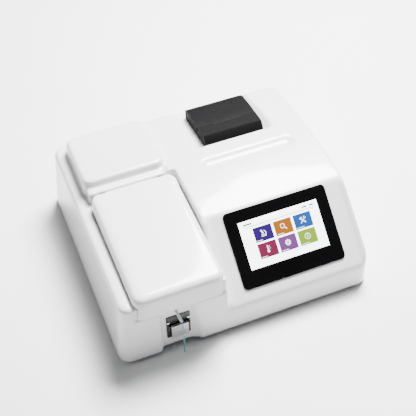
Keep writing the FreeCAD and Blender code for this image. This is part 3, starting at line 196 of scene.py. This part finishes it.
def add_relief(tree, mapping, bump, bump_scale):
    """Fine moulded or brushed grain."""
    relief = tree.nodes.new("ShaderNodeBump")
    relief.inputs["Strength"].default_value = bump
    relief.inputs["Distance"].default_value = RELIEF_DEPTH
    tree.links.new(noise(tree, mapping, bump_scale, RELIEF_DETAIL), relief.inputs["Height"])
    shader = tree.nodes["Principled BSDF"]
    tree.links.new(relief.outputs["Normal"], shader.inputs["Normal"])


def surface(name, color, rough, tint=0.05, scale=40.0, rough_spread=0.06, bump=0.0,
            bump_scale=1500.0, stretch=(1.0, 1.0, 1.0), constants=None):
    """Principled material with a slow change of tone, an uneven sheen and a fine relief."""
    material = bpy.data.materials.new(name)
    material.use_nodes = True
    tree = material.node_tree
    mapping = stretched_coords(tree, stretch)
    add_tone(tree, mapping, color, tint, scale)
    add_sheen(tree, mapping, rough, rough_spread, scale)
    if bump > 0:
        add_relief(tree, mapping, bump, bump_scale)
    for socket, value in (constants or {}).items():
        tree.nodes["Principled BSDF"].inputs[socket].default_value = value
    return material


# ---- materials, one entry for each slot ------------------------------------------------------
METAL = {"Metallic": 1.0}
BRUSHED = {"Metallic": 1.0, "Anisotropic": 0.5}
TOP_COAT = {"Coat Weight": 0.6, "Coat Roughness": 0.07}
QUARTZ = {"Transmission Weight": 1.0, "IOR": 1.46}
FILTER = {"Transmission Weight": 0.5, "IOR": 1.5}
LAMP_BULB = {"Transmission Weight": 0.6, "IOR": 1.46}
CLEAR_TUBE = {"Transmission Weight": 0.35, "IOR": 1.4}
MILKY = {"Subsurface Weight": 0.05, "Subsurface Scale": 0.001}
TRACK_COLOR = (0.10, 0.36, 0.16, 1)
TRACK_SCALE = 240.0
TRACK_WIDTH = 0.06


def white_mouldings():
    grain = {"tint": 0.012, "scale": 9.0, "bump": 0.05, "bump_scale": 900.0, "constants": TOP_COAT}
    return {
        "housing": surface("housing", (0.76, 0.76, 0.76), 0.34, **grain),
        "lid": surface("lid", (0.78, 0.78, 0.78), 0.36, **grain),
    }


def light_mouldings():
    return {
        "gears": surface("gears", (0.66, 0.65, 0.60), 0.4, tint=0.04, scale=150.0, constants=MILKY),
        "rollers": surface("rollers", (0.78, 0.77, 0.73), 0.35, tint=0.04, scale=200.0),
        "fittings": surface("fittings", (0.62, 0.66, 0.67), 0.35, tint=0.05, scale=120.0),
    }


def dark_mouldings():
    """The printer and the blackened parts are nearly black because the key light is strong."""
    return {
        "tray": surface("tray", (0.17, 0.175, 0.18), 0.5, tint=0.08, scale=60.0,
                        bump=0.35, bump_scale=1300.0),
        "carrier": surface("carrier", (0.035, 0.035, 0.038), 0.5, tint=0.15, scale=90.0,
                           bump=0.3, bump_scale=1200.0),
        "printer": surface("printer", (0.0045, 0.0045, 0.0048), 0.66, tint=0.15, scale=120.0,
                           bump=0.4, bump_scale=2200.0, constants={"Specular IOR Level": 0.05}),
        "escutcheon": surface("escutcheon", (0.006, 0.006, 0.0065), 0.3, tint=0.15, scale=120.0,
                              bump=0.15),
        "pump": surface("pump", (0.07, 0.075, 0.08), 0.42, tint=0.1, scale=90.0,
                        bump=0.3, bump_scale=1500.0),
        "blackened": surface("blackened", (0.005, 0.005, 0.0053), 0.6, tint=0.2, scale=200.0,
                             bump=0.3, constants={"Specular IOR Level": 0.08}),
        "inlet": surface("inlet", (0.02, 0.02, 0.021), 0.42, tint=0.15, scale=120.0,
                         bump=0.25, bump_scale=1400.0),
    }


def metals():
    return {
        "sheet": surface("sheet", (0.52, 0.53, 0.54), 0.5, tint=0.04, bump=0.3, bump_scale=1400.0),
        "screws": surface("screws", (0.72, 0.72, 0.73), 0.22, scale=400.0, constants=METAL),
        "pins": surface("pins", (0.62, 0.62, 0.63), 0.3, scale=300.0, bump=0.15,
                        stretch=(0.1, 1, 1), constants=METAL),
        "brackets": surface("brackets", (0.60, 0.61, 0.62), 0.36, scale=120.0, bump=0.15,
                            stretch=(0.08, 1, 1), constants=METAL),
        "motors": surface("motors", (0.46, 0.46, 0.47), 0.34, scale=160.0, bump=0.1,
                          constants=METAL),
        "cooler": surface("cooler", (0.70, 0.71, 0.72), 0.35, tint=0.06, scale=90.0, bump=0.25,
                          stretch=(1, 0.06, 1), constants=METAL),
        "paddle": surface("paddle", (0.60, 0.60, 0.62), 0.30, tint=0.06, scale=200.0, bump=0.3,
                          bump_scale=700.0, stretch=(0.05, 1, 1), constants=BRUSHED),
        "springs": surface("springs", (0.6, 0.6, 0.62), 0.28, scale=400.0, constants=METAL),
    }


def soft_materials():
    return {
        "feet": surface("feet", (0.035, 0.035, 0.036), 0.8, tint=0.25, scale=220.0, bump=0.4),
        "platen": surface("platen", (0.02, 0.02, 0.02), 0.7, tint=0.15, scale=300.0, bump=0.3,
                          constants={"Specular IOR Level": 0.15}),
        "paper": surface("paper", (0.84, 0.84, 0.82), 0.85, tint=0.03, scale=400.0,
                         bump=0.4, bump_scale=2500.0),
        "tubing": surface("tubing", (0.12, 0.45, 0.46), 0.22, tint=0.06, scale=150.0,
                          constants=CLEAR_TUBE),
    }


def glasses():
    return {
        "glass_black": surface("glass_black", (0.0016, 0.0016, 0.0018), 0.12, tint=0.2, scale=16.0,
                               rough_spread=0.05, constants={"Specular IOR Level": 0.3}),
        "screen": surface("screen", (0.55, 0.58, 0.64), 0.2, tint=0.03, scale=200.0),
        "quartz": surface("quartz", (0.94, 0.97, 0.98), 0.04, tint=0.01, scale=60.0,
                          rough_spread=0.02, constants=QUARTZ),
        "filter_glass": surface("filter_glass", (0.42, 0.22, 0.50), 0.08, tint=0.5, scale=30.0,
                                rough_spread=0.03, constants=FILTER),
        "lamp_glass": surface("lamp_glass", (0.90, 0.90, 0.86), 0.12, tint=0.03, scale=80.0,
                              rough_spread=0.04, constants=LAMP_BULB),
    }


def circuit_board():
    """Green solder mask with lighter tracks."""
    material = surface("circuit", (0.03, 0.19, 0.08), 0.35, tint=0.2, scale=90.0,
                       bump=0.1, bump_scale=900.0)
    tree = material.node_tree
    shader = tree.nodes["Principled BSDF"]
    cells = tree.nodes.new("ShaderNodeTexVoronoi")
    cells.feature = "DISTANCE_TO_EDGE"
    cells.inputs["Scale"].default_value = TRACK_SCALE
    tree.links.new(tree.nodes["Texture Coordinate"].outputs["Object"], cells.inputs["Vector"])
    tracks = tree.nodes.new("ShaderNodeMath")
    tracks.operation = "LESS_THAN"
    tracks.inputs[1].default_value = TRACK_WIDTH
    tree.links.new(cells.outputs["Distance"], tracks.inputs[0])
    mix = tree.nodes.new("ShaderNodeMix")
    mix.data_type = "RGBA"
    mix.inputs["B"].default_value = TRACK_COLOR
    mask_color = shader.inputs["Base Color"].links[0].from_socket
    tree.links.new(tracks.outputs["Value"], mix.inputs["Factor"])
    tree.links.new(mask_color, mix.inputs["A"])
    tree.links.new(mix.outputs["Result"], shader.inputs["Base Color"])
    return material


def make_materials():
    made = {"circuit": circuit_board()}
    for family in (white_mouldings, light_mouldings, dark_mouldings, metals, soft_materials, glasses):
        made.update(family())
    return made


def paint_nodes(made):
    slot_of = {entry["node"]: entry["material_slot"] for entry in frame["record"]["subparts"]}
    for name, obj in nodes.items():
        obj.data.materials.clear()
        obj.data.materials.append(made[slot_of[name]])


# ---- edges -----------------------------------------------------------------------------------
# Millimetres; the other bevelled nodes get PLAIN_EDGE.
SOFT_EDGE = {
    "touch_glass": 0.5, "printer_frame": 1.2, "printer_door": 1.2, "latch_tongue": 1.1,
    "escutcheon_plate": 0.3, "trigger_paddle": 0.35, "pump_body": 0.6, "flow_cell_block": 0.6,
    "power_supply": 0.6, "lamp_housing": 0.5, "bay_tray": 0.4, "base_pan": 0.3,
}
PLAIN_EDGE = 0.2
SOFT_SEGMENTS = 3
PLAIN_SEGMENTS = 2
SHARP_ANGLE = math.radians(28)
FACE_WEIGHT = 80
WELD_DISTANCE = 0.002 * MM
MOULDED = ("upper_housing", "bay_lid")
NO_BEVEL = ("paddle_spring", "sipper_tube", "pump_tube", "condenser_lens", "platen_gear",
            "idler_gear", "motor_pinion", "tear_bar")


def add_weld(obj):
    weld = obj.modifiers.new("weld", "WELD")
    weld.merge_threshold = WELD_DISTANCE


def add_bevel(obj, name):
    bevel = obj.modifiers.new("bevel", "BEVEL")
    bevel.width = SOFT_EDGE.get(name, PLAIN_EDGE) * MM
    bevel.segments = SOFT_SEGMENTS if name in SOFT_EDGE else PLAIN_SEGMENTS
    bevel.limit_method = "ANGLE"
    bevel.angle_limit = SHARP_ANGLE
    bevel.use_clamp_overlap = True
    bevel.miter_outer = "MITER_ARC"


def soften_edges():
    """Small round edges on the CAD nodes; the moulded ones get their skins instead."""
    for name, obj in nodes.items():
        if name in MOULDED:
            continue
        obj.data.shade_smooth()
        add_weld(obj)
        if name not in NO_BEVEL:
            add_bevel(obj, name)
        even = obj.modifiers.new("even", "WEIGHTED_NORMAL")
        even.keep_sharp = False
        even.weight = FACE_WEIGHT


# ---- moulded skins ---------------------------------------------------------------------------
# Boxes in which a skin stays crisp, so that its openings and fits keep their edges.
HOUSING_FINE = {
    "fan opening": ((-0.230, 0.205, 0.020), (-0.135, 0.230, 0.120)),
    "spigot, ports and mains openings": ((-0.080, 0.190, 0.010), (0.225, 0.230, 0.058)),
    "escutcheon seat": ((-0.168, -0.222, 0.020), (-0.088, -0.200, 0.100)),
}
LID_FINE = {
    "hinge bores": ((-0.215, 0.010, 0.130), (-0.035, 0.046, 0.180)),
    "lower edge": ((-0.215, -0.225, 0.100), (-0.035, 0.046, 0.147)),
}
HOUSING_VOXEL = 1.5 * MM
HOUSING_PASSES = 26
LID_VOXEL = 1.2 * MM
LID_PASSES = 110
FREE = 0.5
CRISP = 0.06
BLEND_PASSES = 4


def remeshed(name, voxel):
    """Even mesh of a CAD node, before smoothing."""
    work = bpy.data.objects.new(name + "_work", nodes[name].data.copy())
    link(work)
    add_weld(work)
    even = work.modifiers.new("even", "REMESH")
    even.mode = "VOXEL"
    even.voxel_size = voxel
    even.adaptivity = 0.0
    depsgraph = bpy.context.evaluated_depsgraph_get()
    mesh = bpy.data.meshes.new_from_object(work.evaluated_get(depsgraph))
    bpy.data.objects.remove(work)
    return mesh


def points_and_edges(mesh):
    points = np.empty(len(mesh.vertices) * 3)
    mesh.vertices.foreach_get("co", points)
    edges = np.empty(len(mesh.edges) * 2, dtype=np.int64)
    mesh.edges.foreach_get("vertices", edges)
    return points.reshape(-1, 3), edges.reshape(-1, 2)


def smooth_points(points, edges, freedom, passes):
    """Moves every point towards the middle of its neighbours, as far as its freedom allows."""
    first = edges[:, 0]
    second = edges[:, 1]
    count = np.bincount(edges.ravel(), minlength=len(points)).astype(float)
    for _ in range(passes):
        moved = np.empty_like(points)
        for axis in range(3):
            total = np.bincount(first, weights=points[second, axis], minlength=len(points))
            total += np.bincount(second, weights=points[first, axis], minlength=len(points))
            moved[:, axis] = total / count
        points = points + (moved - points) * freedom[:, None]
    return points


def point_freedom(points, edges, fine_boxes):
    """How far each point may move: little in the fine boxes, with a soft change at their rims."""
    freedom = np.full(len(points), FREE)
    for low, high in fine_boxes.values():
        within = np.all((points > np.array(low)) & (points < np.array(high)), axis=1)
        freedom[within] = CRISP
    columns = freedom[:, None].repeat(3, axis=1)
    return smooth_points(columns, edges, np.full(len(points), FREE), BLEND_PASSES)[:, 0]


def moulded_skin(name, voxel, passes, fine_boxes, body, material):
    """Softly rounded copy of a CAD node, as a plastic moulding has it; fine boxes stay crisp."""
    mesh = remeshed(name, voxel)
    points, edges = points_and_edges(mesh)
    freedom = point_freedom(points, edges, fine_boxes)
    points = smooth_points(points, edges, freedom, passes)
    mesh.vertices.foreach_set("co", points.ravel())
    mesh.update()
    mesh.shade_smooth()
    mesh.materials.clear()
    mesh.materials.append(material)
    skin = bpy.data.objects.new(name + "_skin", mesh)
    link(skin)
    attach(skin, body)
    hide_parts(name)


def pressed_spring(material):
    """Copy of the paddle's return spring, hung on the case in place of the CAD node."""
    mesh = nodes["paddle_spring"].data.copy()
    mesh.materials.clear()
    mesh.materials.append(material)
    mesh.shade_smooth()
    coil = bpy.data.objects.new("return_spring_coil", mesh)
    link(coil)
    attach(coil, "case")
    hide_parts("paddle_spring")
    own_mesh(coil)


# ---- screen picture, in millimetres on the panel ---------------------------------------------
# Slope of the console, and the middle of the glass's top face in metres.
TILT = math.radians(40.4)
GLASS_CENTRE = Vector((0.099, -0.1471, 0.1202))
# The lit area is a 7 inch panel, a little above the middle of the glass.
SCREEN_W = 154.0
SCREEN_H = 87.0
SCREEN_UP = 4.0
LIFT = 0.03
# How many lifts above the glass a shape lies.
GROUND = 1
TILE = 2
MARK = 4
OVER = 5
ARC_STEPS = 40


class Picture:
    """Flat shapes in one material, each drawn a little above the glass."""

    def __init__(self, name, material):
        self.name = name
        self.material = material
        self.mesh = bmesh.new()
        self.middle = (0.0, 0.0)
        self.zoom = 1.0

    def polygon(self, points, level):
        verts = []
        for x, y in points:
            x = self.middle[0] + (x - self.middle[0]) * self.zoom
            y = self.middle[1] + (y - self.middle[1]) * self.zoom
            verts.append(self.mesh.verts.new((x * MM, y * MM, LIFT * level * MM)))
        self.mesh.faces.new(verts)

    def bar(self, x0, y0, x1, y1, half, level=MARK):
        """Straight stroke from one point to another; half is half its width."""
        dx = x1 - x0
        dy = y1 - y0
        length = math.hypot(dx, dy)
        nx = -dy / length * half
        ny = dx / length * half
        corners = [(x0 - nx, y0 - ny), (x1 - nx, y1 - ny), (x1 + nx, y1 + ny), (x0 + nx, y0 + ny)]
        self.polygon(corners, level)

    def rect(self, x0, x1, y0, y1, level):
        self.polygon([(x0, y0), (x1, y0), (x1, y1), (x0, y1)], level)

    def disc(self, cx, cy, radius, inner=0.0, start=0.0, end=360.0, level=MARK):
        """Disc, or a ring or an arc with a hole of radius inner."""
        angles = [math.radians(start + (end - start) * i / ARC_STEPS) for i in range(ARC_STEPS + 1)]
        outer = [(cx + radius * math.cos(a), cy + radius * math.sin(a)) for a in angles]
        if inner <= 0:
            self.polygon(outer[:-1], level)
            return
        inside = [(cx + inner * math.cos(a), cy + inner * math.sin(a)) for a in angles]
        for i in range(ARC_STEPS):
            self.polygon([outer[i], outer[i + 1], inside[i + 1], inside[i]], level)

    def place(self):
        data = bpy.data.meshes.new(self.name)
        self.mesh.to_mesh(data)
        self.mesh.free()
        data.materials.append(self.material)
        obj = bpy.data.objects.new(self.name, data)
        obj.matrix_world = Matrix.Translation(GLASS_CENTRE) @ Matrix.Rotation(TILT, 4, "X")
        link(obj)
        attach(obj, "case")


def lit(name, color, glow):
    """Pixels behind the cover glass: coloured, lit, and shiny on top."""
    material = surface(name, color, 0.2, tint=0.015, scale=60.0, rough_spread=0.05,
                       constants={"Specular IOR Level": 0.3, "Emission Strength": glow})
    tree = material.node_tree
    shader = tree.nodes["Principled BSDF"]
    source = shader.inputs["Base Color"].links[0].from_socket
    tree.links.new(source, shader.inputs["Emission Color"])
    return material


def on_screen(u, v):
    """Millimetres on the panel from screen fractions; u runs right and v down."""
    return (u - 0.5) * SCREEN_W, SCREEN_UP + (0.5 - v) * SCREEN_H


# ---- signs on the tiles, in millimetres around their middles ----------------------------------
def microscope(art, x, y):
    art.bar(x - 6, y - 7, x + 6, y - 7, 0.9)
    art.disc(x, y - 1, 7.0, inner=5.2, start=-80, end=70)
    art.bar(x - 4.5, y + 7, x - 0.5, y - 1.5, 1.7)
    art.bar(x - 5.5, y - 3.5, x + 1.5, y - 3.5, 0.7)


def magnifier(art, x, y):
    art.disc(x - 1.5, y + 1.5, 5.6, inner=4.0)
    art.bar(x + 2.4, y - 2.4, x + 7, y - 7, 1.2)


def crossed_tools(art, x, y):
    art.bar(x - 6, y - 6.5, x + 4.5, y + 4.5, 0.9)
    art.disc(x + 5.2, y + 5.2, 3.0, inner=1.4, start=80, end=370)
    art.bar(x + 6, y - 6.5, x - 3.5, y + 3.0, 1.3, level=OVER)
    art.bar(x - 6.8, y + 3.2, x - 1.6, y + 7.0, 1.6, level=OVER)


def thermometer(art, x, y):
    art.bar(x, y - 4, x, y + 7, 1.5)
    art.disc(x, y + 7, 1.5)
    art.disc(x, y - 5.2, 3.0)
    for step in range(3):
        art.bar(x + 3, y + 6 - 3 * step, x + 5.5, y + 6 - 3 * step, 0.45)


def cog(art, x, y):
    art.disc(x, y, 5.4, inner=2.3)
    teeth = 8
    for i in range(teeth):
        a = math.tau * i / teeth
        across = math.cos(a)
        up = math.sin(a)
        art.bar(x + 4.8 * across, y + 4.8 * up, x + 7.2 * across, y + 7.2 * up, 1.2)


def info_mark(art, x, y):
    art.disc(x, y, 7.0, inner=5.6)
    art.bar(x, y - 3.6, x, y + 1.2, 0.9)
    art.disc(x, y + 3.2, 1.05)


# ---- screen layout, u and v in screen fractions and the rest in millimetres --------------------
RULE_U = (0.056, 0.958)
RULE_V = 0.135
RULE_HALF = 0.5
# Where each header bar starts, and its length.
HEADER_BARS = ((0.056, 16.0), (0.80, 10.0), (0.90, 8.0))
HEADER_V = 0.08
HEADER_HALF = 1.3
TILE_COLUMNS = ((0.150, 0.380), (0.408, 0.630), (0.660, 0.883))
TILE_ROWS = ((0.190, 0.500), (0.534, 0.847))
TILE_COLORS = {
    "tile_indigo": (0.022, 0.008, 0.09), "tile_amber": (0.24, 0.08, 0.008),
    "tile_blue": (0.010, 0.06, 0.23), "tile_rose": (0.12, 0.013, 0.04),
    "tile_violet": (0.11, 0.035, 0.14), "tile_lime": (0.15, 0.26, 0.015),
}
ICONS = (microscope, magnifier, crossed_tools, thermometer, cog, info_mark)
ICON_ZOOM = 0.8
ICON_UP = 1.0
CAPTION_RIGHT = 2.5
CAPTION_UP = 2.6
CAPTION_LENGTH = 10.5
CAPTION_LONGER = 2.0
CAPTION_HALF = 0.5


def tile_box(index):
    row, column = divmod(index, len(TILE_COLUMNS))
    u0, u1 = TILE_COLUMNS[column]
    v0, v1 = TILE_ROWS[row]
    x0, y1 = on_screen(u0, v0)
    x1, y0 = on_screen(u1, v1)
    return x0, x1, y0, y1


def draw_ground():
    ground = Picture("screen_ground", lit("screen_white", (0.86, 0.88, 0.90), glow=4.5))
    half_w = SCREEN_W / 2
    half_h = SCREEN_H / 2
    ground.rect(-half_w, half_w, SCREEN_UP - half_h, SCREEN_UP + half_h, GROUND)
    ground.place()


def draw_header():
    header = Picture("screen_header", lit("screen_rule", (0.006, 0.01, 0.10), glow=0.02))
    x0, y0 = on_screen(RULE_U[0], RULE_V)
    x1, y1 = on_screen(RULE_U[1], RULE_V)
    header.bar(x0, y0, x1, y1, RULE_HALF, level=TILE)
    for u, length in HEADER_BARS:
        x, y = on_screen(u, HEADER_V)
        header.bar(x, y, x + length, y, HEADER_HALF, level=TILE)
    header.place()


def draw_tiles():
    for index, (name, color) in enumerate(TILE_COLORS.items()):
        tile = Picture(name, lit(name, color, glow=0.1))
        tile.rect(*tile_box(index), TILE)
        tile.place()


def draw_icons():
    """One sign in the middle of each tile, and a bar below it in place of a caption."""
    icons = Picture("screen_icons", lit("screen_marks", (0.88, 0.90, 0.92), glow=0.5))
    for index, draw in enumerate(ICONS):
        x0, x1, y0, y1 = tile_box(index)
        icons.middle = ((x0 + x1) / 2, (y0 + y1) / 2 + ICON_UP)
        icons.zoom = ICON_ZOOM
        draw(icons, *icons.middle)
        icons.zoom = 1.0
        left = x0 + CAPTION_RIGHT
        length = CAPTION_LENGTH + CAPTION_LONGER * (index % len(TILE_COLUMNS))
        height = y0 + CAPTION_UP
        icons.bar(left, height, left + length, height, CAPTION_HALF)
    icons.place()


# ---- the whole scene -------------------------------------------------------------------------
make_camera()
materials = make_materials()
make_lights()
make_room()
make_floor()
paint_nodes(materials)
soften_edges()
moulded_skin("upper_housing", HOUSING_VOXEL, HOUSING_PASSES, HOUSING_FINE, "case",
             materials["housing"])
moulded_skin("bay_lid", LID_VOXEL, LID_PASSES, LID_FINE, "lid", materials["lid"])
pressed_spring(materials["springs"])
draw_ground()
draw_header()
draw_tiles()
draw_icons()
